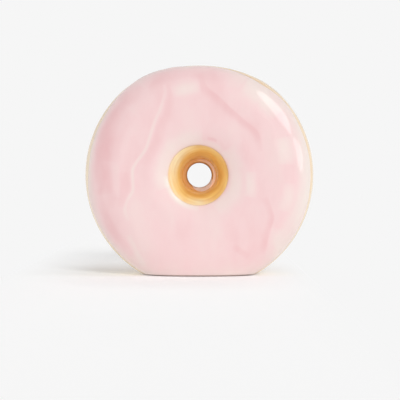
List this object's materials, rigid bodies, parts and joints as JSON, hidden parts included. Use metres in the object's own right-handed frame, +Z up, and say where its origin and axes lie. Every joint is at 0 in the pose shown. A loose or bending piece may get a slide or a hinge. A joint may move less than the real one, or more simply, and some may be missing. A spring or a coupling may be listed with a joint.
{
  "type": "doughnut vase",
  "caption": "Stem vase in the shape of an iced doughnut standing on its edge: a hollow ceramic ring with a flat base, a flat lip with an oval mouth and a pink icing coat on the front.",
  "frame": {"origin": "middle of the flat base, on the seam plane between the front and rear halves", "axes": "+Z up, the iced front faces -Y, +X to the right as seen from the front, and the axis of the hole runs along Y"},
  "size_m": [0.18, 0.0616, 0.1643],
  "materials": {
    "dough_glaze": "glossy golden ochre glaze, paler towards the rim",
    "throat_glaze": "glossy brown ochre glaze",
    "bare_clay": "unglazed and matt",
    "pink_icing": "thick glossy pale pink glaze"
  },
  "bodies": {
    "root": {"front_shell": "dough_glaze", "rear_shell": "dough_glaze", "throat_ring": "throat_glaze", "base_slab": "bare_clay", "icing": "pink_icing"}
  },
  "joints": []
}
